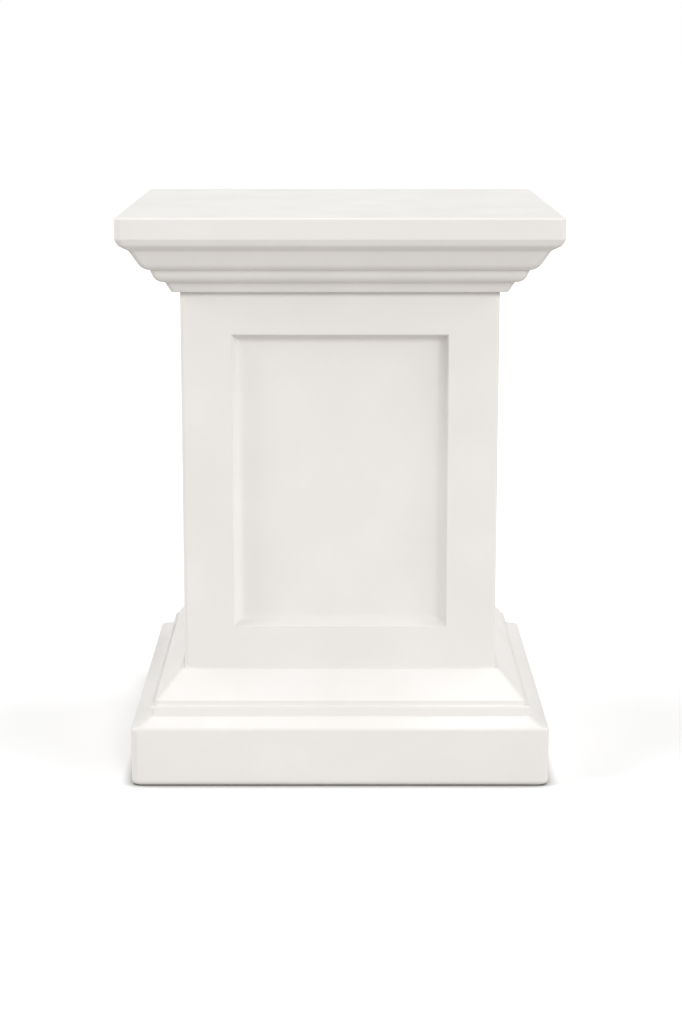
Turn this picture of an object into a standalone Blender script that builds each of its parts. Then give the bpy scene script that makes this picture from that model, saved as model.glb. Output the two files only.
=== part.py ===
"""Square pedestal: a moulded base, a shaft with a sunk panel in each side, and a moulded cap.

Metres, +Z up. The origin is the centre of the underside, and each side of the square faces
along X or Y. The pedestal is one casting, so it is one closed solid: a section run round a
square with softened corners, with a panel sunk into each of the four sides of the shaft.
"""

import math

import bmesh
import bpy
from mathutils import Matrix, Vector

MM = 0.001

# Shaft
SHAFT_WIDTH = 338.4 * MM
SHAFT_HEIGHT = 410.6 * MM
CORNER_SOFTENING = 4.0 * MM  # radius, in plan, of the shaft's upright corners
CORNER_SPREAD = 0.06  # growth of that radius for each unit that a member stands out

# Sunk panel in each side of the shaft
STILE_WIDTH = 54.3 * MM
TOP_RAIL_HEIGHT = 46.2 * MM
BOTTOM_RAIL_HEIGHT = 45.5 * MM
PANEL_DEPTH = 12.0 * MM
PANEL_BEVEL_WIDTH = 5.2 * MM
PANEL_EDGE_SOFTENING = 1.8 * MM
PANEL_HOLLOW_RADIUS = 8.0 * MM  # where the bevel runs into the field

# Base: each run stands out beyond the member above it
SPLAY_MARGIN_RUN = 3.9 * MM  # flat ledge between the shaft and the splay
SPLAY_RUN = 27.2 * MM
SPLAY_RISE = 29.2 * MM
SPLAY_HEAD_SOFTENING = 4.0 * MM
SPLAY_EDGE_SOFTENING = 1.5 * MM
UPRIGHT_HEIGHT = 4.5 * MM
FILLET_RUN = 5.3 * MM
FILLET_HEIGHT = 11.0 * MM
FILLET_EDGE_SOFTENING = 2.5 * MM
WEATHERING_RUN = 19.3 * MM
WEATHERING_RISE = 8.5 * MM
WEATHERING_HOLLOW = 1.0 * MM  # how far it sags below the straight line
PLINTH_HEIGHT = 64.4 * MM
PLINTH_EDGE_SOFTENING = 4.0 * MM
FOOT_EDGE_SOFTENING = 6.0 * MM

# Cap: three bed courses and a slab, each run standing out beyond the member below it
LOWER_SOFFIT_RUN = 8.3 * MM
LOWER_COURSE_RUN = 6.4 * MM
LOWER_COURSE_HEIGHT = 11.0 * MM
LOWER_COURSE_ROLL = 1.5 * MM
MIDDLE_SOFFIT_RUN = 9.2 * MM
MIDDLE_SOFFIT_RISE = 1.2 * MM  # each soffit slopes up towards the face that it carries
MIDDLE_COURSE_RUN = 5.2 * MM
MIDDLE_COURSE_HEIGHT = 12.8 * MM
MIDDLE_COURSE_ROLL = 13.0 * MM
UPPER_SOFFIT_RUN = 7.7 * MM
UPPER_SOFFIT_RISE = 1.6 * MM
UPPER_COURSE_RUN = 12.6 * MM
UPPER_COURSE_HEIGHT = 20.2 * MM
UPPER_COURSE_ROLL = 15.5 * MM
SLAB_SOFFIT_RUN = 9.8 * MM
SLAB_SOFFIT_RISE = 5.6 * MM
SLAB_SPLAY_RUN = 3.6 * MM  # the slab's face splays back below its upright part
SLAB_SPLAY_RISE = 7.0 * MM
SLAB_ROLL = 8.0 * MM
SLAB_SPLAY_SOFTENING = 4.0 * MM
SLAB_FACE_HEIGHT = 22.4 * MM
SLAB_EDGE_SOFTENING = 2.0 * MM

# Facets and shading
FACET_ANGLE = math.radians(12.0)  # turn of one facet on a rounded edge of the section
SIDE_SHARE = 0.96  # most of a side that a rounded edge may take up
CORNER_FACETS = 4  # facets round each upright corner
HOLLOW_FACETS = 5  # facets across the weathering
SHARP_ANGLE = math.radians(25.0)  # edges that turn by more are shaded sharp

PAINT_COLOUR = (0.80, 0.78, 0.75, 1.0)
PAINT_ROUGHNESS = 0.55


def clear_scene():
    for old in list(bpy.data.objects):
        bpy.data.objects.remove(old, do_unlink=True)


def soften(corners):
    """Round the corners of an open outline.

    Each corner is (across, up, radius). A corner with a radius becomes an arc tangent to both
    of its sides, and the others stay sharp. An arc takes up no more than a whole side, or half
    of a side whose other end is rounded too.
    """
    outline = []
    for number, (across, up, radius) in enumerate(corners):
        here = Vector((across, up))
        if radius == 0.0:
            outline.append(here)
            continue
        sides = []
        for neighbour in (corners[number - 1], corners[number + 1]):
            side = Vector(neighbour[:2]) - here
            sides.append((side, side.length if neighbour[2] == 0.0 else side.length / 2.0))
        (back, back_room), (ahead, ahead_room) = sides
        turn = math.pi - back.angle(ahead)
        reach = min(radius * math.tan(turn / 2.0), SIDE_SHARE * back_room, SIDE_SHARE * ahead_room)
        start = here + back.normalized() * reach
        end = here + ahead.normalized() * reach
        to_centre = (back.normalized() + ahead.normalized()).normalized()
        centre = here + to_centre * (reach / math.sin(turn / 2.0))
        facets = max(2, round(turn / FACET_ANGLE))
        sweep = (start - centre).angle_signed(end - centre)
        for facet in range(facets + 1):
            outline.append(centre + Matrix.Rotation(-sweep * facet / facets, 2) @ (start - centre))
    return outline


def hollow(start, end, sag):
    """Corners between the outer and inner ends of a shallow hollow, sunk by sag at its middle."""
    line = end - start
    down = Vector((-line.y, line.x)).normalized()
    corners = []
    for facet in range(1, HOLLOW_FACETS):
        share = facet / HOLLOW_FACETS
        point = start + line * share + down * (4.0 * sag * share * (1.0 - share))
        corners.append((point.x, point.y, 0.0))
    return corners


def base_section():
    """Corners of the base's section, from the underside up to the foot of the shaft."""
    shaft = SHAFT_WIDTH / 2.0
    splay_top = shaft + SPLAY_MARGIN_RUN
    upright = splay_top + SPLAY_RUN
    fillet = upright + FILLET_RUN
    plinth = fillet + WEATHERING_RUN
    fillet_foot = PLINTH_HEIGHT + WEATHERING_RISE
    fillet_top = fillet_foot + FILLET_HEIGHT
    upright_top = fillet_top + UPRIGHT_HEIGHT
    shaft_foot = upright_top + SPLAY_RISE
    weathering = hollow(Vector((plinth, PLINTH_HEIGHT)), Vector((fillet, fillet_foot)), WEATHERING_HOLLOW)
    return [
        (plinth - 2.0 * FOOT_EDGE_SOFTENING, 0.0, 0.0),
        (plinth, 0.0, FOOT_EDGE_SOFTENING),
        (plinth, PLINTH_HEIGHT, PLINTH_EDGE_SOFTENING),
        *weathering,
        (fillet, fillet_foot, 0.0),
        (fillet, fillet_top, FILLET_EDGE_SOFTENING),
        (upright, fillet_top, 0.0),
        (upright, upright_top, SPLAY_EDGE_SOFTENING),
        (splay_top, shaft_foot, SPLAY_HEAD_SOFTENING),
        (shaft, shaft_foot, 0.0),
    ]


def cap_section(shaft_head):
    """Corners of the cap's section, from the head of the shaft up to its top face."""
    courses = (
        (LOWER_SOFFIT_RUN, 0.0, LOWER_COURSE_ROLL, LOWER_COURSE_RUN, LOWER_COURSE_HEIGHT),
        (MIDDLE_SOFFIT_RUN, MIDDLE_SOFFIT_RISE, MIDDLE_COURSE_ROLL, MIDDLE_COURSE_RUN, MIDDLE_COURSE_HEIGHT),
        (UPPER_SOFFIT_RUN, UPPER_SOFFIT_RISE, UPPER_COURSE_ROLL, UPPER_COURSE_RUN, UPPER_COURSE_HEIGHT),
        (SLAB_SOFFIT_RUN, SLAB_SOFFIT_RISE, SLAB_ROLL, SLAB_SPLAY_RUN, SLAB_SPLAY_RISE),
    )
    across = SHAFT_WIDTH / 2.0
    up = shaft_head
    corners = [(across, up, 0.0)]
    for soffit_run, soffit_rise, roll, run, height in courses:
        across += soffit_run
        up += soffit_rise
        corners.append((across, up, roll))
        across += run
        up += height
        corners.append((across, up, 0.0))
    corners[-1] = (across, up, SLAB_SPLAY_SOFTENING)
    up += SLAB_FACE_HEIGHT
    corners.append((across, up, SLAB_EDGE_SOFTENING))
    corners.append((across - 2.0 * SLAB_EDGE_SOFTENING, up, 0.0))
    return corners


def turned(point, quarters):
    """A point turned about the upright axis by a number of quarter turns."""
    return Matrix.Rotation(math.radians(90.0) * quarters, 3, "Z") @ point


def add_ring(bm, half_width, height):
    """Vertices of a level square with softened corners, counter-clockwise from above."""
    radius = CORNER_SOFTENING + CORNER_SPREAD * (half_width - SHAFT_WIDTH / 2.0)
    inner = half_width - radius
    ring = []
    for quarter in range(4):
        for facet in range(CORNER_FACETS + 1):
            angle = math.radians(90.0) * facet / CORNER_FACETS
            across = inner + radius * math.cos(angle)
            along = inner + radius * math.sin(angle)
            ring.append(bm.verts.new(turned(Vector((across, along, height)), quarter)))
    return ring


def bridge(bm, first, second):
    """Faces between two closed loops of vertices, in the loops' order."""
    count = len(first)
    faces = []
    for number in range(count):
        after = (number + 1) % count
        faces.append(bm.faces.new((first[number], first[after], second[after], second[number])))
    return faces


def panel_section():
    """Inset and depth of each line of the panel's moulded edge, from the shaft's face inwards."""
    level = 2.0 * max(PANEL_EDGE_SOFTENING, PANEL_HOLLOW_RADIUS)
    corners = [
        (-level, 0.0, 0.0),
        (0.0, 0.0, PANEL_EDGE_SOFTENING),
        (PANEL_BEVEL_WIDTH, PANEL_DEPTH, PANEL_HOLLOW_RADIUS),
        (PANEL_BEVEL_WIDTH + level, PANEL_DEPTH, 0.0),
    ]
    return soften(corners)[1:-1]


def sink_panel(bm, face, quarter, shaft_foot, shaft_head):
    """Put the margins, moulded edge and field of a sunk panel in place of one side's flat face."""
    loop = list(face.verts)
    bm.faces.remove(face)
    half_width = SHAFT_WIDTH / 2.0 - STILE_WIDTH
    low = shaft_foot + BOTTOM_RAIL_HEIGHT
    high = shaft_head - TOP_RAIL_HEIGHT
    for inset, depth in panel_section():
        side = half_width - inset
        out = SHAFT_WIDTH / 2.0 - depth
        corners = (
            Vector((side, out, low + inset)),
            Vector((-side, out, low + inset)),
            Vector((-side, out, high - inset)),
            Vector((side, out, high - inset)),
        )
        inner = [bm.verts.new(turned(corner, quarter)) for corner in corners]
        bridge(bm, loop, inner)
        loop = inner
    bm.faces.new(loop)


def build_pedestal_mesh():
    base = soften(base_section())
    shaft_foot = base[-1].y
    shaft_head = shaft_foot + SHAFT_HEIGHT
    cap = soften(cap_section(shaft_head))

    bm = bmesh.new()
    rings = [add_ring(bm, point.x, point.y) for point in base + cap]
    bm.faces.new(reversed(rings[0]))
    bm.faces.new(rings[-1])
    for number in range(len(rings) - 1):
        faces = bridge(bm, rings[number], rings[number + 1])
        if number == len(base) - 1:
            shaft_faces = faces
    for quarter in range(4):
        flat_face = shaft_faces[quarter * (CORNER_FACETS + 1) + CORNER_FACETS]
        sink_panel(bm, flat_face, quarter, shaft_foot, shaft_head)

    mesh = bpy.data.meshes.new("pedestal")
    bm.to_mesh(mesh)
    bm.free()
    mesh.shade_smooth()
    mesh.set_sharp_from_angle(angle=SHARP_ANGLE)
    return mesh


def paint_material():
    material = bpy.data.materials.new("off_white_painted_casting")
    material.use_nodes = True
    shader = material.node_tree.nodes["Principled BSDF"]
    shader.inputs["Base Color"].default_value = PAINT_COLOUR
    shader.inputs["Roughness"].default_value = PAINT_ROUGHNESS
    shader.inputs["Metallic"].default_value = 0.0
    return material


def main():
    clear_scene()
    mesh = build_pedestal_mesh()
    mesh.materials.append(paint_material())
    pedestal = bpy.data.objects.new("pedestal", mesh)
    bpy.context.scene.collection.objects.link(pedestal)


main()
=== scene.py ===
"""Square panelled pedestal: its fine surface, paint, stage and camera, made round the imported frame.

The casting is a section run round a square, with a panel sunk into each side of the shaft.
Metres, +Z up. The origin is the centre of the underside.
"""

import math
from functools import partial

import bpy
from bpy.props import FloatProperty, FloatVectorProperty, IntProperty, PointerProperty
from mathutils import Matrix, Vector


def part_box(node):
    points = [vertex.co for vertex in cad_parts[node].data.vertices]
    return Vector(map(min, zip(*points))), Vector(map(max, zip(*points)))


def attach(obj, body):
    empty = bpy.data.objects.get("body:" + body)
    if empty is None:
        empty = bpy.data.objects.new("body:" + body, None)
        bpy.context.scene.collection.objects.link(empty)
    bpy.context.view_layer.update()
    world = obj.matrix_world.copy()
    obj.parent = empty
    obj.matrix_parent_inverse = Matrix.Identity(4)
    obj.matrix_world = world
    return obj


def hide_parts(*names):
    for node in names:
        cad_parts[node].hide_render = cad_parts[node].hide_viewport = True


bl_info = {
    "name": "Square Panelled Pedestal",
    "version": (1, 0, 0),
    "blender": (4, 5, 0),
    "location": "View3D > Sidebar > Pedestal",
    "description": "Builds a cast, painted pedestal with a moulded cap and base and sunk panels",
    "category": "Add Mesh",
}

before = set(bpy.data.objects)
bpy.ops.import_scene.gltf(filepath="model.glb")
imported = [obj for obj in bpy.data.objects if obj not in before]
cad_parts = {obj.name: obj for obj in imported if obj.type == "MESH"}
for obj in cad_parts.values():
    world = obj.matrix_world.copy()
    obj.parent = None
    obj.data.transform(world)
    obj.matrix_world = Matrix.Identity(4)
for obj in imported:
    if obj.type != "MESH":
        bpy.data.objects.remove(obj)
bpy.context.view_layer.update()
CAD_LOW, CAD_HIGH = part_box("pedestal")

NODE = "pedestal"
BODY = "root"

MM = 0.001

# The image that the camera frames, in pixels
IMAGE_WIDTH = 682
IMAGE_HEIGHT = 1024
FOCAL_PIXELS = 2252.5
CENTRE_LINE_PIXEL = 339.9
SENSOR_WIDTH = 36.0  # millimetres, along the image's longer side


def millimetres(name, default, description):
    """A length in the sidebar, with its default in millimetres."""
    return FloatProperty(
        name=name,
        description=description,
        default=default * MM,
        min=0.0,
        unit="LENGTH",
        precision=4,
    )


def linear(hex_colour):
    """Linear RGBA of an sRGB colour written as six hexadecimal digits."""
    channels = []
    for start in (0, 2, 4):
        value = int(hex_colour[start : start + 2], 16) / 255.0
        channels.append(value / 12.92 if value <= 0.04045 else ((value + 0.055) / 1.055) ** 2.4)
    return (*channels, 1.0)


def swatch(name, hex_colour, description):
    """A colour in the sidebar, with its default as six hexadecimal digits."""
    return FloatVectorProperty(
        name=name,
        description=description,
        default=linear(hex_colour),
        subtype="COLOR",
        size=4,
    )


class BaseSizes(bpy.types.PropertyGroup):
    """Members of the base; each run stands out beyond the member above it."""

    splay_margin_run: millimetres("Splay margin run", 3.9, "Flat ledge from shaft to splay")
    splay_run: millimetres("Splay run", 27.2, "How far the splay stands out")
    splay_rise: millimetres("Splay rise", 29.2, "Height of the splay")
    splay_edge: millimetres("Splay edge", 1.5, "Radius of the splay's lower arris")
    splay_head: millimetres("Splay head", 4.0, "Radius of the splay's upper arris")
    upright_height: millimetres("Upright height", 4.5, "Narrow upright below the splay")
    fillet_run: millimetres("Fillet run", 5.3, "How far the fillet stands out")
    fillet_height: millimetres("Fillet height", 11.0, "Face of the fillet")
    fillet_edge: millimetres("Fillet edge", 2.5, "Radius of the fillet's arris")
    weathering_run: millimetres("Weathering run", 19.3, "How far the weathering runs out")
    weathering_rise: millimetres("Weathering rise", 8.5, "Height of the weathering")
    weathering_hollow: millimetres("Weathering hollow", 1.0, "How deep it is hollowed")
    plinth_height: millimetres("Plinth height", 64.4, "Height of the plinth block")
    plinth_edge: millimetres("Plinth edge", 4.0, "Radius of the plinth's upper arris")
    foot_edge: millimetres("Foot edge", 6.0, "Radius of the arris that stands on the floor")


class CapSizes(bpy.types.PropertyGroup):
    """Members of the cap; each run stands out beyond the member below it."""

    lower_soffit_run: millimetres("Lower soffit run", 8.3, "Soffit of the lowest bed course")
    lower_run: millimetres("Lower course run", 6.4, "How far its face leans out")
    lower_height: millimetres("Lower course height", 11.0, "Height of the lowest bed course")
    lower_roll: millimetres("Lower course roll", 1.5, "Radius of its rolled lower edge")
    middle_soffit_run: millimetres("Middle soffit run", 9.2, "Soffit of the middle bed course")
    middle_soffit_rise: millimetres("Middle soffit rise", 1.2, "How far that soffit slopes up")
    middle_run: millimetres("Middle course run", 5.2, "How far its face leans out")
    middle_height: millimetres("Middle course height", 12.8, "Height of the middle bed course")
    middle_roll: millimetres("Middle course roll", 13.0, "Radius of its rolled lower edge")
    upper_soffit_run: millimetres("Upper soffit run", 7.7, "Soffit of the upper bed course")
    upper_soffit_rise: millimetres("Upper soffit rise", 1.6, "How far that soffit slopes up")
    upper_run: millimetres("Upper course run", 12.6, "How far its face leans out")
    upper_height: millimetres("Upper course height", 20.2, "Height of the upper bed course")
    upper_roll: millimetres("Upper course roll", 15.5, "Radius of its rolled lower edge")
    slab_soffit_run: millimetres("Slab soffit run", 9.8, "Soffit of the slab")
    slab_soffit_rise: millimetres("Slab soffit rise", 5.6, "How far that soffit slopes up")
    slab_roll: millimetres("Slab roll", 8.0, "Radius of the slab's rolled lower edge")
    slab_splay_run: millimetres("Slab splay run", 3.6, "How far its face splays back at the foot")
    slab_splay_rise: millimetres("Slab splay rise", 7.0, "Height of that splay")
    slab_splay_edge: millimetres("Slab splay edge", 4.0, "Radius between splay and upright face")
    slab_face: millimetres("Slab face", 22.4, "Height of the slab's upright face")
    slab_edge: millimetres("Slab edge", 2.0, "Radius of the slab's upper arris")


class PanelSizes(bpy.types.PropertyGroup):
    """The panel that is sunk into each side of the shaft."""

    stile: millimetres("Stile", 54.3, "Width left at each side of the panel")
    top_rail: millimetres("Top rail", 46.2, "Height left above the panel")
    bottom_rail: millimetres("Bottom rail", 45.5, "Height left below the panel")
    depth: millimetres("Depth", 12.0, "How far the field lies behind the shaft's face")
    bevel: millimetres("Bevel", 5.2, "Width of the sloping edge")
    edge: millimetres("Edge", 1.8, "Radius of the arris round the opening")
    hollow: millimetres("Hollow", 8.0, "Radius where the bevel runs into the field")


class SurfaceSizes(bpy.types.PropertyGroup):
    """What the mould and the paint left on every face and edge."""

    corner_softening: millimetres("Corner softening", 4.0, "Radius of the shaft's corners in plan")
    corner_spread: FloatProperty(
        name="Corner spread",
        description="Growth of that radius with a member's reach",
        default=0.06,
        min=0.0,
    )
    quirk_softening: millimetres("Quirk softening", 0.8, "Radius that paint leaves in inner angles")
    waviness: millimetres("Waviness", 0.22, "How far a face strays from true")
    wave_length: millimetres("Wave length", 85.0, "Distance from one swell to the next")
    seed: IntProperty(name="Seed", description="Picks the pattern of the waviness", default=7)


class PaintLook(bpy.types.PropertyGroup):
    """Masonry paint over the casting."""

    colour: swatch("Paint", "DBD9D7", "Colour of the paint")
    patch_colour: swatch("Patches", "D8D6D3", "Patches in it that are a shade greyer")
    # Painted shade in the quirks, with dust: the paint is drawn darker in the inner angles
    quirk_dust_and_shade_colour: swatch("Quirks", "CFCBC6", "Paint with dust in it, in the quirks")
    # Painted shade on the arrises: the paint is drawn darker on the rounded edges to dim the light
    # they catch
    arris_painted_shade_colour: swatch("Arrises", "CDCAC6", "Paint rubbed a little grey on the arrises")


class StageLook(bpy.types.PropertyGroup):
    """Floor, light and camera."""

    floor_colour: swatch("Floor", "F3F3F3", "Colour of the floor, as the camera sees it")
    floor_bounce: swatch("Floor bounce", "BDBAB7", "Colour of the light that the floor gives back")
    # The floor's seen colour is painted darker beside the foot: a painted contact shadow
    painted_contact_shade: millimetres("Floor contact", 14.0, "How far the floor darkens beside the foot")
    room_light: FloatProperty(
        name="Room light", description="Light from all round", default=0.20, min=0.0
    )
    lamp_light: FloatProperty(
        name="Soft lights", description="Brightness of them all", default=0.99, min=0.0
    )
    lamp_spread: FloatProperty(
        name="Spread",
        description="How wide each soft light looks",
        default=math.radians(24.0),
        subtype="ANGLE",
    )
    lamp_colour: swatch("Light", "FFFFFF", "Colour of the soft lights")
    camera_distance: FloatProperty(
        name="Camera distance", description="From the pedestal's axis", default=2.5413, unit="LENGTH"
    )
    camera_height: FloatProperty(
        name="Camera height", description="Above the floor", default=0.7913, unit="LENGTH"
    )
    camera_pitch: FloatProperty(
        name="Camera pitch",
        description="Below level",
        default=math.radians(11.92),
        subtype="ANGLE",
    )


class PedestalSettings(bpy.types.PropertyGroup):
    """Everything about the pedestal that can be changed."""

    base: PointerProperty(name="Base", description="Sizes of the base", type=BaseSizes)
    cap: PointerProperty(name="Cap", description="Sizes of the cap", type=CapSizes)
    panel: PointerProperty(name="Panel", description="Sizes of the sunk panels", type=PanelSizes)
    surface: PointerProperty(name="Surface", description="Edges and faces", type=SurfaceSizes)
    paint: PointerProperty(name="Paint", description="Colours of the paint", type=PaintLook)
    stage: PointerProperty(name="Stage", description="Floor, light and camera", type=StageLook)


# How finely the casting is drawn
ARC_STEP = math.radians(9.0)
CORNER_FACETS = 6
HOLLOW_FACETS = 8
FACE_SPACING = 8.0 * MM
BED_SPACING = 40.0 * MM  # on the top and the underside, which run in to the axis
GUARD = 1.2 * MM  # a point this close to a rounded edge keeps its shading off the flat face
CRISP_RADIUS = 4.0 * MM  # an edge or hollow rounder than this weighs less as an arris or quirk
SIDE_SHARE = 0.96  # most of a side that a rounded edge may take up
SHARP_ANGLE = math.radians(25.0)
WELD = 0.004 * MM
QUARTER_TURN = math.radians(90.0)

# The waviness sets in between these distances from the axis and from the floor
WAVES_OFF_AXIS = (100.0 * MM, 150.0 * MM)
WAVES_OFF_FLOOR = (1.0 * MM, 12.0 * MM)

# Colour sockets of a Mix node, which has others of the same names
MIX_FACTOR, MIX_FIRST, MIX_SECOND, MIX_RESULT = 0, 6, 7, 2


def soften(corners):
    """Round the corners of an outline that has the solid on its left.

    Each corner is (across, up, radius). Points come back as (across, up, arris, quirk), where the
    last two are weights that rise to 1 in the middle of an outer or an inner angle. Two arcs that
    are too long for the side between them shrink alike.
    """
    places = [Vector(corner[:2]) for corner in corners]
    wanted = [0.0] * len(corners)
    for number, (*_, radius) in enumerate(corners):
        if radius > 0.0:
            back = places[number - 1] - places[number]
            ahead = places[number + 1] - places[number]
            wanted[number] = radius * math.tan((math.pi - back.angle(ahead)) / 2.0)
    shares = []
    for number in range(len(corners) - 1):
        room = SIDE_SHARE * (places[number + 1] - places[number]).length
        shares.append(room / max(room, wanted[number] + wanted[number + 1]))

    outline = []
    for number, here in enumerate(places):
        if wanted[number] == 0.0:
            outline.append((*here, 0.0, 0.0))
            continue
        back, ahead = places[number - 1] - here, places[number + 1] - here
        turn = math.pi - back.angle(ahead)
        reach = wanted[number] * min(shares[number - 1], shares[number])
        start = here + back.normalized() * reach
        end = here + ahead.normalized() * reach
        to_centre = (back.normalized() + ahead.normalized()).normalized()
        centre = here + to_centre * (reach / math.sin(turn / 2.0))
        facets = max(2, round(turn / ARC_STEP))
        sweep = (start - centre).angle_signed(end - centre)
        is_arris = ahead.cross(back) > 0.0
        crispness = min(1.0, CRISP_RADIUS / corners[number][2])
        for facet in range(facets + 1):
            point = centre + Matrix.Rotation(-sweep * facet / facets, 2) @ (start - centre)
            weight = crispness * math.sin(math.pi * facet / facets)
            outline.append((*point, weight if is_arris else 0.0, 0.0 if is_arris else weight))
    return outline


def fill_in(outline):
    """Add plain points along the long straight stretches of an outline."""
    filled = [outline[0]]
    for first, second in zip(outline, outline[1:]):
        start = Vector(first[:2])
        run = Vector(second[:2]) - start
        inner = run.length - 2.0 * GUARD
        if inner > GUARD:
            spacing = BED_SPACING if 0.0 in (first[0], second[0]) else FACE_SPACING
            pieces = math.ceil(inner / spacing)
            for piece in range(pieces + 1):
                point = start + run * ((GUARD + inner * piece / pieces) / run.length)
                filled.append((*point, 0.0, 0.0))
        filled.append(second)
    return filled


def panel_lines(first, low, high, last, panel):
    """Places along a side of the shaft, from first to last, as (place, sink, arris, quirk).

    The opening lies between low and high. Sink is how deep the panel lies at that place.
    """
    middle = (low + high) / 2.0
    profile = [
        (first - low, 0.0, 0.0),
        (0.0, 0.0, panel.edge),
        (panel.bevel, panel.depth, panel.hollow),
        (middle - low, panel.depth, 0.0),
    ]
    lines = [(low + inset, sink, *weights) for inset, sink, *weights in fill_in(soften(profile))]
    profile[0] = (high - last, 0.0, 0.0)
    far = [(high - inset, sink, *weights) for inset, sink, *weights in fill_in(soften(profile))]
    return lines + far[-2::-1]


def hollow(start, end, sag):
    """Corners along a shallow parabola between its outer and inner ends, sunk by sag midway."""
    line = end - start
    down = Vector((-line.y, line.x)).normalized()
    corners = []
    for facet in range(1, HOLLOW_FACETS):
        share = facet / HOLLOW_FACETS
        point = start + line * share + down * (4.0 * sag * share * (1.0 - share))
        corners.append((*point, 0.0))
    return corners


def base_section(base, surface, shaft):
    """Corners of the base, from the centre of the underside up to the foot of the shaft."""
    quirk = surface.quirk_softening
    splay_top = shaft + base.splay_margin_run
    upright = splay_top + base.splay_run
    fillet = upright + base.fillet_run
    plinth = fillet + base.weathering_run
    fillet_foot = base.plinth_height + base.weathering_rise
    fillet_top = fillet_foot + base.fillet_height
    upright_top = fillet_top + base.upright_height
    shaft_foot = upright_top + base.splay_rise
    weathering = Vector((plinth, base.plinth_height)), Vector((fillet, fillet_foot))
    return [
        (0.0, 0.0, 0.0),
        (plinth, 0.0, base.foot_edge),
        (plinth, base.plinth_height, base.plinth_edge),
        *hollow(*weathering, base.weathering_hollow),
        (fillet, fillet_foot, quirk),
        (fillet, fillet_top, base.fillet_edge),
        (upright, fillet_top, quirk),
        (upright, upright_top, base.splay_edge),
        (splay_top, shaft_foot, base.splay_head),
        (shaft, shaft_foot, quirk),
    ]


def cap_section(cap, surface, shaft, shaft_head):
    """Corners of the cap, from the head of the shaft up to the centre of the top face."""
    quirk = surface.quirk_softening
    # Each course has a soffit, a rolled edge and a face that leans out
    courses = (
        (cap.lower_soffit_run, 0.0, cap.lower_roll),
        (cap.middle_soffit_run, cap.middle_soffit_rise, cap.middle_roll),
        (cap.upper_soffit_run, cap.upper_soffit_rise, cap.upper_roll),
        (cap.slab_soffit_run, cap.slab_soffit_rise, cap.slab_roll),
    )
    faces = (
        (cap.lower_run, cap.lower_height),
        (cap.middle_run, cap.middle_height),
        (cap.upper_run, cap.upper_height),
        (cap.slab_splay_run, cap.slab_splay_rise),
    )
    across = shaft
    up = shaft_head
    corners = [(across, up, quirk)]
    for (soffit_run, soffit_rise, roll), (run, height) in zip(courses, faces):
        across += soffit_run
        up += soffit_rise
        corners.append((across, up, roll))
        across += run
        up += height
        corners.append((across, up, quirk))
    corners[-1] = (across, up, cap.slab_splay_edge)
    up += cap.slab_face
    corners.append((across, up, cap.slab_edge))
    corners.append((0.0, up, 0.0))
    return corners


def section_points(settings, shaft, shaft_foot, shaft_head):
    """The whole section as (across, up, 0), sink, arris and quirk."""
    panel = settings.panel
    base = base_section(settings.base, settings.surface, shaft)
    cap = cap_section(settings.cap, settings.surface, shaft, shaft_head)
    join = 2.0 * settings.surface.quirk_softening
    low, high = shaft_foot + join, shaft_head - join
    points = []
    for across, up, arris, quirk in fill_in(soften([*base, (shaft, low, 0.0)])):
        points.append(((across, up, 0.0), 0.0, arris, quirk))
    opening = shaft_foot + panel.bottom_rail, shaft_head - panel.top_rail
    for up, sink, arris, quirk in panel_lines(low, *opening, high, panel)[1:]:
        points.append(((shaft, up, 0.0), sink, arris, quirk))
    for across, up, arris, quirk in fill_in(soften([(shaft, high, 0.0), *cap]))[1:]:
        points.append(((across, up, 0.0), 0.0, arris, quirk))
    return points


def plan_points(settings, shaft):
    """Once round the square, anticlockwise, as place, direction out, sink, arris, quirk, corner.

    A place of 1 is the end of a straight side. The rounded corner is added along the direction.
    """
    straight = shaft - settings.surface.corner_softening
    opening = shaft - settings.panel.stile
    side = panel_lines(-straight, -opening, opening, straight, settings.panel)
    points = []
    for quarter in range(4):
        turn = Matrix.Rotation(QUARTER_TURN * quarter, 3, "Z")
        for facet in range(CORNER_FACETS):
            angle = QUARTER_TURN * facet / CORNER_FACETS
            out = Vector((math.cos(angle), math.sin(angle), 0.0))
            weight = math.sin(2.0 * angle)
            points.append((turn @ Vector((1.0, 1.0, 0.0)), turn @ out, 0.0, 0.0, 0.0, weight))
        for across, sink, arris, quirk in side[:-1]:
            place = Vector((-across / straight, 1.0, 0.0))
            points.append((turn @ place, turn @ Vector((0.0, 1.0, 0.0)), sink, arris, quirk, 0.0))
    points.append(points[0])
    return points


def line_object(name, places, attributes):
    """A line of vertices that carries values for a node tree to read."""
    mesh = bpy.data.meshes.new(name)
    mesh.from_pydata(places, [(number, number + 1) for number in range(len(places) - 1)], [])
    for label, values in attributes.items():
        is_vector = isinstance(values[0], Vector)
        attribute = mesh.attributes.new(label, "FLOAT_VECTOR" if is_vector else "FLOAT", "POINT")
        for datum, value in zip(attribute.data, values):
            if is_vector:
                datum.vector = value
            else:
                datum.value = value
    line = bpy.data.objects.new(name, mesh)
    bpy.context.scene.collection.objects.link(line)
    return line


def add_node(tree, kind, settings=None, inputs=()):
    """Add a node with its settings, and set or link its inputs, by name or number or in order."""
    node = tree.nodes.new(kind)
    for name, value in (settings or {}).items():
        setattr(node, name, value)
    for socket, value in inputs.items() if isinstance(inputs, dict) else enumerate(inputs):
        if isinstance(value, bpy.types.Node):
            value = value.outputs[0]
        if isinstance(value, bpy.types.NodeSocket):
            tree.links.new(value, node.inputs[socket])
        else:
            node.inputs[socket].default_value = value
    return node


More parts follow.
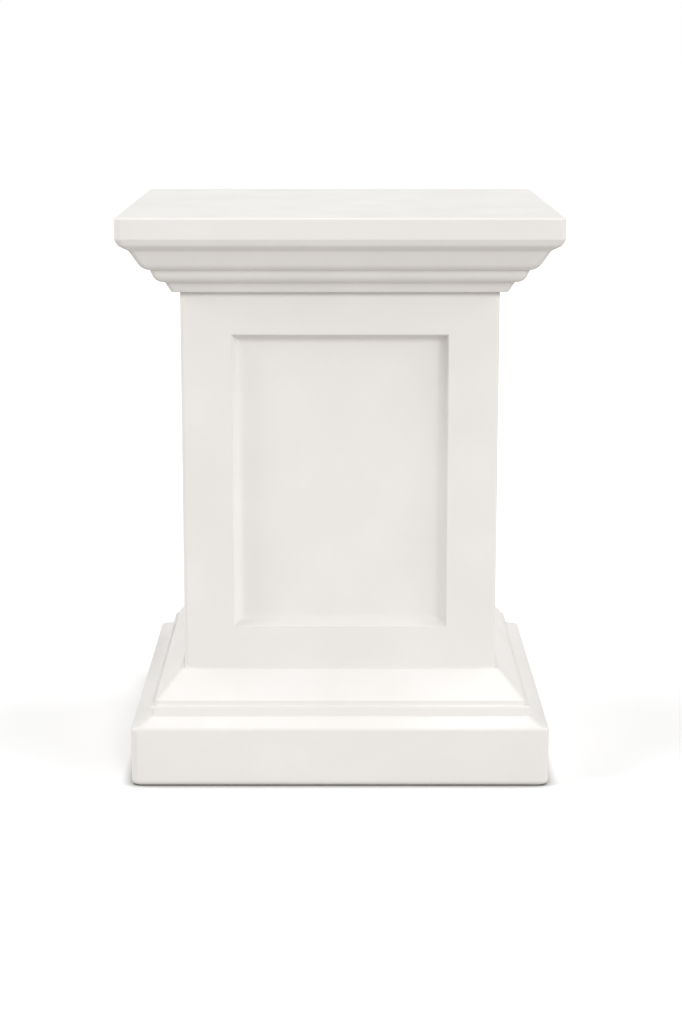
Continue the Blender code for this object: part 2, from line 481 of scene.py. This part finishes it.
def moulding_tree():
    """Geometry Nodes that run a section round a plan, sink its panels and leave it slightly wavy."""
    tree = bpy.data.node_groups.new("Square moulding", "GeometryNodeTree")
    node = partial(add_node, tree)
    for name, kind in (
        ("Section", "NodeSocketGeometry"),
        ("Plan", "NodeSocketObject"),
        ("Shaft", "NodeSocketFloat"),
        ("Corner Softening", "NodeSocketFloat"),
        ("Corner Spread", "NodeSocketFloat"),
        ("Waviness", "NodeSocketFloat"),
        ("Wave Length", "NodeSocketFloat"),
        ("Seed", "NodeSocketFloat"),
        ("Material", "NodeSocketMaterial"),
    ):
        tree.interface.new_socket(name, in_out="INPUT", socket_type=kind)
    tree.interface.new_socket("Casting", in_out="OUTPUT", socket_type="NodeSocketGeometry")

    given = node("NodeGroupInput").outputs
    plan = node("GeometryNodeObjectInfo", None, {"Object": given["Plan"]}).outputs["Geometry"]
    section = given["Section"]
    position = node("GeometryNodeInputPosition")

    # A flat grid has a column for each point of the plan and a row for each point of the section
    sizes = []
    for line in (plan, section):
        domain = node("GeometryNodeAttributeDomainSize", None, {"Geometry": line})
        count = domain.outputs["Point Count"]
        sizes.append((count, node("ShaderNodeMath", {"operation": "SUBTRACT"}, (count, 1.0))))
    (around_count, around_size), (along_count, along_size) = sizes
    grid = node(
        "GeometryNodeMeshGrid",
        None,
        {
            "Size X": around_size,
            "Size Y": along_size,
            "Vertices X": around_count,
            "Vertices Y": along_count,
        },
    )
    halves = node("ShaderNodeCombineXYZ", None, {"X": around_size, "Y": along_size})
    number = node(
        "ShaderNodeVectorMath", {"operation": "MULTIPLY_ADD"}, (halves, (0.5, 0.5, 0.5), position)
    )
    number = node("ShaderNodeSeparateXYZ", None, {"Vector": number})
    around, along = (
        node("FunctionNodeFloatToInt", {"rounding_mode": "ROUND"}, {"Float": number.outputs[axis]})
        for axis in "XY"
    )

    def sampled(line, index, kind, label=None):
        """What the line's point of that number holds: its place, or the value of that name."""
        field = position
        if label:
            field = node("GeometryNodeInputNamedAttribute", {"data_type": kind}, {"Name": label})
        return node(
            "GeometryNodeSampleIndex",
            {"data_type": kind, "domain": "POINT"},
            {"Geometry": line, "Value": field, "Index": index},
        )

    place = sampled(plan, around, "FLOAT_VECTOR")
    out = sampled(plan, around, "FLOAT_VECTOR", "out")
    level = node("ShaderNodeSeparateXYZ", None, {"Vector": sampled(section, along, "FLOAT_VECTOR")})
    across, up = level.outputs["X"], level.outputs["Y"]

    # The rounded corners of the plan count as arrises, but not where they cross the two beds
    middle = (CAD_LOW.z + CAD_HIGH.z) / 2.0
    half_height = (CAD_HIGH.z - CAD_LOW.z) / 2.0
    off_middle = node("ShaderNodeMath", {"operation": "SUBTRACT"}, (up, middle))
    off_middle = node("ShaderNodeMath", {"operation": "ABSOLUTE"}, (off_middle,))
    between_beds = node(
        "ShaderNodeMath", {"operation": "LESS_THAN"}, (off_middle, half_height - WELD)
    )
    corner = sampled(plan, around, "FLOAT", "corner")
    corner = node("ShaderNodeMath", {"operation": "MULTIPLY"}, (corner, between_beds))

    plan_sink = sampled(plan, around, "FLOAT", "sink")
    section_sink = sampled(section, along, "FLOAT", "sink")
    in_side = node(
        "FunctionNodeCompare", {"operation": "LESS_THAN"}, {"A": plan_sink, "B": section_sink}
    )
    sink = node("ShaderNodeMath", {"operation": "MINIMUM"}, (plan_sink, section_sink))

    reach = node("ShaderNodeMath", {"operation": "SUBTRACT"}, (across, given["Shaft"]))
    reach = node("ShaderNodeMath", {"operation": "MAXIMUM"}, (reach, 0.0))
    radius = node(
        "ShaderNodeMath",
        {"operation": "MULTIPLY_ADD"},
        (reach, given["Corner Spread"], given["Corner Softening"]),
    )
    radius = node("ShaderNodeMath", {"operation": "MINIMUM"}, (radius, across))
    straight = node("ShaderNodeMath", {"operation": "SUBTRACT"}, (across, radius))
    stretched = node(
        "ShaderNodeVectorMath", {"operation": "SCALE"}, {0: place, "Scale": straight}
    )
    sunk_radius = node("ShaderNodeMath", {"operation": "SUBTRACT"}, (radius, sink))
    rounded = node("ShaderNodeVectorMath", {"operation": "SCALE"}, {0: out, "Scale": sunk_radius})
    surface_place = node("ShaderNodeVectorMath", {"operation": "ADD"}, (stretched, rounded))
    height = node("ShaderNodeCombineXYZ", None, {"Z": up})
    surface_place = node("ShaderNodeVectorMath", {"operation": "ADD"}, (surface_place, height))

    # The weights are stored on the flat grid, because its points are numbered by their places
    # The arris and quirk weights also say where the paint gets its painted shade
    casting = grid
    for label in ("arris", "quirk"):
        weight = node(
            "GeometryNodeSwitch",
            {"input_type": "FLOAT"},
            {
                "Switch": in_side,
                "False": sampled(section, along, "FLOAT", label),
                "True": sampled(plan, around, "FLOAT", label),
            },
        )
        if label == "arris":
            weight = node("ShaderNodeMath", {"operation": "MAXIMUM"}, (weight, corner))
        casting = node(
            "GeometryNodeStoreNamedAttribute",
            {"data_type": "FLOAT", "domain": "POINT"},
            {"Geometry": casting, "Name": label, "Value": weight},
        )
    casting = node(
        "GeometryNodeSetPosition", None, {"Geometry": casting, "Position": surface_place}
    )
    casting = node("GeometryNodeMergeByDistance", None, {"Geometry": casting, "Distance": WELD})
    casting = node(
        "GeometryNodeTriangulate", {"quad_method": "LONGEST_DIAGONAL"}, {"Mesh": casting}
    )

    # The swells only ever go inwards. They leave the underside and the middle of the top flat.
    wave_number = node("ShaderNodeMath", {"operation": "DIVIDE"}, (1.0, given["Wave Length"]))
    swell = node(
        "ShaderNodeTexNoise",
        {"noise_dimensions": "4D"},
        {
            "Vector": position,
            "W": given["Seed"],
            "Scale": wave_number,
            "Detail": 1.0,
            "Roughness": 0.3,
        },
    )
    spot = node("ShaderNodeSeparateXYZ", None, {"Vector": position}).outputs
    off_axis = [node("ShaderNodeMath", {"operation": "ABSOLUTE"}, (spot[axis],)) for axis in "XY"]
    off_axis = node("ShaderNodeMath", {"operation": "MAXIMUM"}, off_axis)
    masks = []
    for value, (start, end) in ((off_axis, WAVES_OFF_AXIS), (spot["Z"], WAVES_OFF_FLOOR)):
        masks.append(
            node(
                "ShaderNodeMapRange",
                {"interpolation_type": "SMOOTHSTEP"},
                {"Value": value, "From Min": start, "From Max": end},
            )
        )
    depth = node("ShaderNodeMath", {"operation": "MULTIPLY"}, masks)
    depth = node("ShaderNodeMath", {"operation": "MULTIPLY"}, (depth, given["Waviness"]))
    swell = node("ShaderNodeMath", {"operation": "MAXIMUM"}, (swell, 0.0))
    depth = node("ShaderNodeMath", {"operation": "MULTIPLY"}, (depth, swell))
    depth = node("ShaderNodeMath", {"operation": "MULTIPLY"}, (depth, -1.0))
    outward = node("GeometryNodeInputNormal")
    inward = node("ShaderNodeVectorMath", {"operation": "SCALE"}, {0: outward, "Scale": depth})
    casting = node("GeometryNodeSetPosition", None, {"Geometry": casting, "Offset": inward})

    angle = node("GeometryNodeInputMeshEdgeAngle").outputs["Unsigned Angle"]
    crease = node(
        "FunctionNodeCompare", {"operation": "GREATER_THAN"}, {"A": angle, "B": SHARP_ANGLE}
    )
    casting = node(
        "GeometryNodeSetShadeSmooth",
        {"domain": "FACE"},
        {"Geometry": casting, "Shade Smooth": True},
    )
    casting = node(
        "GeometryNodeSetShadeSmooth",
        {"domain": "EDGE"},
        {"Geometry": casting, "Selection": crease, "Shade Smooth": False},
    )
    casting = node("GeometryNodeRealizeInstances", None, {"Geometry": casting})
    casting = node(
        "GeometryNodeSetMaterial", None, {"Geometry": casting, "Material": given["Material"]}
    )
    node("NodeGroupOutput", None, {"Casting": casting})
    return tree


def plain_mesh(source, tree, values, name):
    """Run the tree on the source object and keep the result as an object with a mesh of its own."""
    modifier = source.modifiers.new("Moulding", "NODES")
    modifier.node_group = tree
    inputs = [item for item in tree.interface.items_tree if item.in_out == "INPUT"]
    identifiers = {item.name: item.identifier for item in inputs}
    for label, value in values.items():
        modifier[identifiers[label]] = value
    graph = bpy.context.evaluated_depsgraph_get()
    mesh = bpy.data.meshes.new_from_object(source.evaluated_get(graph), depsgraph=graph)
    mesh.name = name
    source.modifiers.remove(modifier)
    piece = bpy.data.objects.new(name, mesh)
    bpy.context.scene.collection.objects.link(piece)
    return piece


# Real sizes of the patterns in the paint, and how much finer detail each one holds
PATCH_SIZE, PATCH_DETAIL = 90.0 * MM, 3.0
SHEEN_SIZE, SHEEN_DETAIL = 35.0 * MM, 4.0
ROLLER_SIZE, ROLLER_DETAIL = 2.5 * MM, 2.0
SAND_SIZE, SAND_DETAIL = 1.1 * MM, 3.0

PATCH_RANGE = (0.35, 0.65)  # of the noise, from all paint to all patch
SHEEN_RANGE = (0.3, 0.7)  # of the noise, from the smoothest paint to the roughest
ROUGHNESS_RANGE = (0.46, 0.58)
PAINTED_EDGE_SHADE = 0.6  # most that the painted shade of an arris or quirk covers the paint


def masonry_paint(look):
    """Off-white masonry paint, rolled over a fine casting.

    To the eye: a soft sheen with no sharp reflection, a faint skin of roller texture, and painted
    shade that makes the quirks, with their dust, and the arrises a shade greyer than the faces.
    """
    material = bpy.data.materials.new("off_white_masonry_paint")
    material.use_nodes = True
    tree = material.node_tree
    tree.nodes.clear()
    node = partial(add_node, tree)

    place = node("ShaderNodeTexCoord").outputs["Object"]
    patches, sheen, roller, sand = (
        node(
            "ShaderNodeTexNoise",
            None,
            {"Vector": place, "Scale": 1.0 / size, "Detail": detail, "Roughness": 0.5},
        )
        for size, detail in (
            (PATCH_SIZE, PATCH_DETAIL),
            (SHEEN_SIZE, SHEEN_DETAIL),
            (ROLLER_SIZE, ROLLER_DETAIL),
            (SAND_SIZE, SAND_DETAIL),
        )
    )

    low, high = PATCH_RANGE
    patches = node(
        "ShaderNodeMapRange", None, {"Value": patches, "From Min": low, "From Max": high}
    )
    tone_and_shade_layers = [(patches, look.patch_colour)]
    # The patches are the paint's own tone; the quirk and arris layers are painted shade, with dust in
    # the quirks
    for label, tone_and_painted_shade in (("quirk", look.quirk_dust_and_shade_colour), ("arris", look.arris_painted_shade_colour)):
        weight = node("ShaderNodeAttribute", {"attribute_name": label}).outputs["Fac"]
        weight = node("ShaderNodeMath", {"operation": "MULTIPLY"}, (weight, PAINTED_EDGE_SHADE))
        tone_and_shade_layers.append((weight, tone_and_painted_shade))
    colour = tuple(look.colour)
    for cover, tone_and_painted_shade in tone_and_shade_layers:
        mix = node(
            "ShaderNodeMix",
            {"data_type": "RGBA"},
            {MIX_FACTOR: cover, MIX_FIRST: colour, MIX_SECOND: tuple(tone_and_painted_shade)},
        )
        colour = mix.outputs[MIX_RESULT]

    low, high = SHEEN_RANGE
    smoothest, roughest = ROUGHNESS_RANGE
    roughness = node(
        "ShaderNodeMapRange",
        None,
        {"Value": sheen, "From Min": low, "From Max": high, "To Min": smoothest, "To Max": roughest},
    )
    # The roller leaves a skin 2.5 mm from peak to peak. The sand in the paint is 0.4 mm, and is
    # drawn at 1.1 mm, as fine as the picture can show.
    roller = node(
        "ShaderNodeBump", None, {"Height": roller, "Strength": 0.25, "Distance": 0.05 * MM}
    )
    sand = node(
        "ShaderNodeBump",
        None,
        {"Height": sand, "Strength": 0.2, "Distance": 0.03 * MM, "Normal": roller},
    )
    # A specular level of 0.25 gives half the gloss of a smooth film, for a chalky skin
    shader = node(
        "ShaderNodeBsdfPrincipled",
        None,
        {
            "Base Color": colour,
            "Roughness": roughness,
            "IOR": 1.49,
            "Specular IOR Level": 0.25,
            "Normal": sand,
        },
    )
    node("ShaderNodeOutputMaterial", None, {"Surface": shader})
    return material


class PEDESTAL_OT_cast(bpy.types.Operator):
    """Build the casting: base, panelled shaft and cap in one piece"""

    bl_idname = "pedestal.cast"
    bl_label = "Casting"

    def execute(self, context):
        settings = context.scene.pedestal
        # On a shaft of no size, the slab's upper arris gives the reach and height of the cap
        slab_reach, cap_height, _ = cap_section(settings.cap, settings.surface, 0.0, 0.0)[-2]
        shaft = CAD_HIGH.x - slab_reach
        _, shaft_foot, _ = base_section(settings.base, settings.surface, shaft)[-1]
        shaft_head = CAD_HIGH.z - cap_height

        points = section_points(settings, shaft, shaft_foot, shaft_head)
        places, *columns = zip(*points)
        section = line_object("section", places, dict(zip(("sink", "arris", "quirk"), columns)))
        places, *columns = zip(*plan_points(settings, shaft))
        labels = ("out", "sink", "arris", "quirk", "corner")
        plan = line_object("plan", places, dict(zip(labels, columns)))

        values = {
            "Plan": plan,
            "Shaft": shaft,
            "Corner Softening": settings.surface.corner_softening,
            "Corner Spread": settings.surface.corner_spread,
            "Waviness": settings.surface.waviness,
            "Wave Length": settings.surface.wave_length,
            "Seed": float(settings.surface.seed),
            "Material": masonry_paint(settings.paint),
        }
        casting = plain_mesh(section, moulding_tree(), values, "pedestal_casting")
        if not casting.data.polygons:
            raise RuntimeError("The casting came out empty")
        for line in (section, plan):
            bpy.data.objects.remove(line)
        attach(casting, BODY)
        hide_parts(NODE)
        return {"FINISHED"}


FLOOR_REACH = 60.0  # metres each way from the axis

# Soft lights: name, elevation and turn from the front towards the right in degrees, strength
SOFT_LIGHTS = (
    ("front", 28.0, 15.0, 1.52),
    ("right_front", 15.0, 45.0, 0.71),
    ("right", 28.0, 75.0, 0.85),
    ("right_high", 65.0, 105.0, 1.19),
    ("left", 28.0, -75.0, 1.26),
    ("left_low", 15.0, -100.0, 1.11),
    ("left_high", 65.0, -105.0, 0.73),
)


def floor_paper(look):
    """Matt white studio paper, burnt out to white for the camera but for a narrow painted contact
    shadow by the foot.
    """
    material = bpy.data.materials.new("matt_white_studio_paper")
    material.use_nodes = True
    tree = material.node_tree
    tree.nodes.clear()
    node = partial(add_node, tree)
    seen = node("ShaderNodeLightPath").outputs["Is Camera Ray"]
    # For the camera, the colour is darkened by ambient occlusion near the foot: painted shadow
    seen_with_painted_shade = node(
        "ShaderNodeAmbientOcclusion",
        {"samples": 8},
        {"Color": tuple(look.floor_colour), "Distance": look.painted_contact_shade},
    )
    mix = node(
        "ShaderNodeMix",
        {"data_type": "RGBA"},
        {
            MIX_FACTOR: seen,
            MIX_FIRST: tuple(look.floor_bounce),
            MIX_SECOND: seen_with_painted_shade.outputs["Color"],
        },
    )
    shader = node("ShaderNodeBsdfDiffuse", None, {"Color": mix.outputs[MIX_RESULT]})
    node("ShaderNodeOutputMaterial", None, {"Surface": shader})
    return material


def white_room(look):
    """A plain white room, burnt out where the camera looks past the floor."""
    world = bpy.data.worlds.new("white_studio")
    world.use_nodes = True
    tree = world.node_tree
    tree.nodes.clear()
    node = partial(add_node, tree)
    seen = node("ShaderNodeLightPath").outputs["Is Camera Ray"]
    strength = node("ShaderNodeMath", {"operation": "MAXIMUM"}, (seen, look.room_light))
    background = node(
        "ShaderNodeBackground", None, {"Color": (1.0, 1.0, 1.0, 1.0), "Strength": strength}
    )
    node("ShaderNodeOutputWorld", None, {"Surface": background})
    return world


def soft_light(name, elevation, turn, strength, look):
    """A wide, far light that shines on the pedestal from that elevation and side."""
    light = bpy.data.lights.new(name, "SUN")
    light.energy = strength * look.lamp_light
    light.angle = look.lamp_spread
    light.color = look.lamp_colour[:3]
    lamp = bpy.data.objects.new(name, light)
    lamp.rotation_euler = (math.radians(90.0 - elevation), 0.0, math.radians(turn))
    bpy.context.scene.collection.objects.link(lamp)


class PEDESTAL_OT_stage(bpy.types.Operator):
    """Lay the floor, light the room and place the camera"""

    bl_idname = "pedestal.stage"
    bl_label = "Stage"

    def execute(self, context):
        look = context.scene.pedestal.stage
        mesh = bpy.data.meshes.new("floor")
        ends = ((-1, -1), (1, -1), (1, 1), (-1, 1))
        corners = [(x * FLOOR_REACH, y * FLOOR_REACH, CAD_LOW.z) for x, y in ends]
        mesh.from_pydata(corners, [], [(0, 1, 2, 3)])
        mesh.materials.append(floor_paper(look))
        floor = bpy.data.objects.new("floor", mesh)
        context.scene.collection.objects.link(floor)

        context.scene.world = white_room(look)
        for values in SOFT_LIGHTS:
            soft_light(*values, look)
        context.scene.view_settings.view_transform = "Standard"

        lens = bpy.data.cameras.new("camera")
        lens.sensor_width = SENSOR_WIDTH
        lens.lens = FOCAL_PIXELS * SENSOR_WIDTH / IMAGE_HEIGHT
        lens.shift_x = (IMAGE_WIDTH / 2.0 - CENTRE_LINE_PIXEL) / IMAGE_HEIGHT
        camera = bpy.data.objects.new("camera", lens)
        camera.location = (0.0, -look.camera_distance, look.camera_height)
        camera.rotation_euler = (math.radians(90.0) - look.camera_pitch, 0.0, 0.0)
        context.scene.collection.objects.link(camera)
        context.scene.camera = camera
        return {"FINISHED"}


class PEDESTAL_PT_sidebar(bpy.types.Panel):
    """Sizes, colours and the steps that build the pedestal"""

    bl_idname = "PEDESTAL_PT_sidebar"
    bl_label = "Pedestal"
    bl_space_type = "VIEW_3D"
    bl_region_type = "UI"
    bl_category = "Pedestal"

    def draw(self, context):
        settings = context.scene.pedestal
        for label in ("base", "cap", "panel", "surface", "paint", "stage"):
            group = getattr(settings, label)
            box = self.layout.box()
            box.label(text=label.capitalize())
            for name in group.__annotations__:
                box.prop(group, name)
        self.layout.operator(PEDESTAL_OT_cast.bl_idname)
        self.layout.operator(PEDESTAL_OT_stage.bl_idname)


CLASSES = (
    BaseSizes,
    CapSizes,
    PanelSizes,
    SurfaceSizes,
    PaintLook,
    StageLook,
    PedestalSettings,
    PEDESTAL_OT_cast,
    PEDESTAL_OT_stage,
    PEDESTAL_PT_sidebar,
)


def register():
    for cls in CLASSES:
        bpy.utils.register_class(cls)
    bpy.types.Scene.pedestal = PointerProperty(type=PedestalSettings)


def unregister():
    del bpy.types.Scene.pedestal
    for cls in reversed(CLASSES):
        bpy.utils.unregister_class(cls)


def main():
    register()
    bpy.ops.pedestal.cast()
    bpy.ops.pedestal.stage()


if __name__ == "__main__":
    main()
